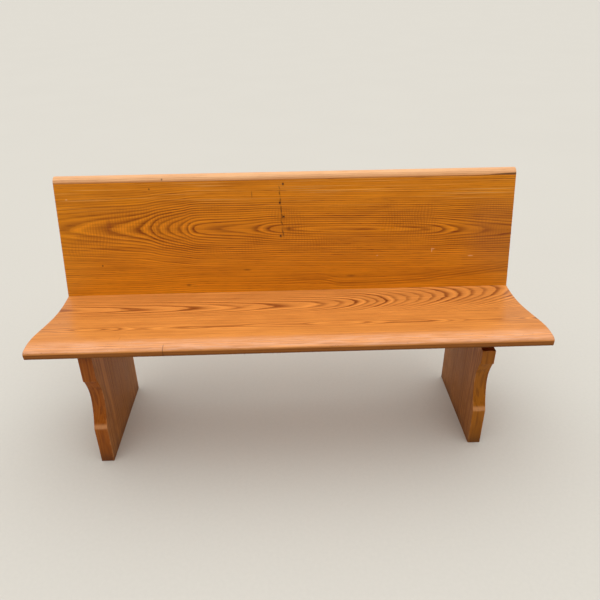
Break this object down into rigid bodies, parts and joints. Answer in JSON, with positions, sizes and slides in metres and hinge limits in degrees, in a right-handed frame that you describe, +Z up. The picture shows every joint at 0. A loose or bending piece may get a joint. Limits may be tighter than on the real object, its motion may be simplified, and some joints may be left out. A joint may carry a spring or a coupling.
{
  "type": "church pew",
  "caption": "Church pew with a hollowed plank seat, a leaning board back with a rounded cap, and two scooped slab supports set in from the cut ends.",
  "frame": {"origin": "on the floor, under the middle of the pew's box", "axes": "+X along the pew to the right of a person facing it, +Y from the front to the back, +Z up"},
  "size_m": [1.524, 0.5312, 0.8097],
  "materials": {
    "seat_wood": "glossy amber varnish",
    "back_wood": "glossy amber varnish",
    "support_wood": "satin brown varnish",
    "plain_wood": "bare wood",
    "steel": "dull, aged"
  },
  "bodies": {
    "root": {"back_batten": "plain_wood", "back_cap_rail": "back_wood", "back_cap_spline": "plain_wood", "back_panel": "back_wood", "batten_nail_1": "steel", "batten_nail_2": "steel", "batten_nail_3": "steel", "batten_nail_4": "steel", "corner_block_1": "plain_wood", "corner_block_2": "plain_wood", "corner_block_3": "plain_wood", "corner_block_4": "plain_wood", "left_back_screw_1": "steel", "left_back_screw_2": "steel", "left_back_screw_3": "steel", "left_cleat_screw_1": "steel", "left_cleat_screw_2": "steel", "left_cleat_screw_3": "steel", "left_cleat_screw_4": "steel", "left_dowel_front_high": "plain_wood", "left_dowel_front_low": "plain_wood", "left_dowel_rear_high": "plain_wood", "left_dowel_rear_low": "plain_wood", "left_seat_cleat": "plain_wood", "left_support_front_board": "support_wood", "left_support_middle_board": "support_wood", "left_support_rear_board": "support_wood", "right_back_screw_1": "steel", "right_back_screw_2": "steel", "right_back_screw_3": "steel", "right_cleat_screw_1": "steel", "right_cleat_screw_2": "steel", "right_cleat_screw_3": "steel", "right_cleat_screw_4": "steel", "right_dowel_front_high": "plain_wood", "right_dowel_front_low": "plain_wood", "right_dowel_rear_high": "plain_wood", "right_dowel_rear_low": "plain_wood", "right_seat_cleat": "plain_wood", "right_support_front_board": "support_wood", "right_support_middle_board": "support_wood", "right_support_rear_board": "support_wood", "seat_edge_screw_1": "steel", "seat_edge_screw_2": "steel", "seat_edge_screw_3": "steel", "seat_edge_screw_4": "steel", "seat_edge_screw_5": "steel", "seat_front_board": "seat_wood", "seat_front_spline": "plain_wood", "seat_middle_board": "seat_wood", "seat_rear_board": "seat_wood", "seat_rear_spline": "plain_wood"}
  },
  "joints": []
}
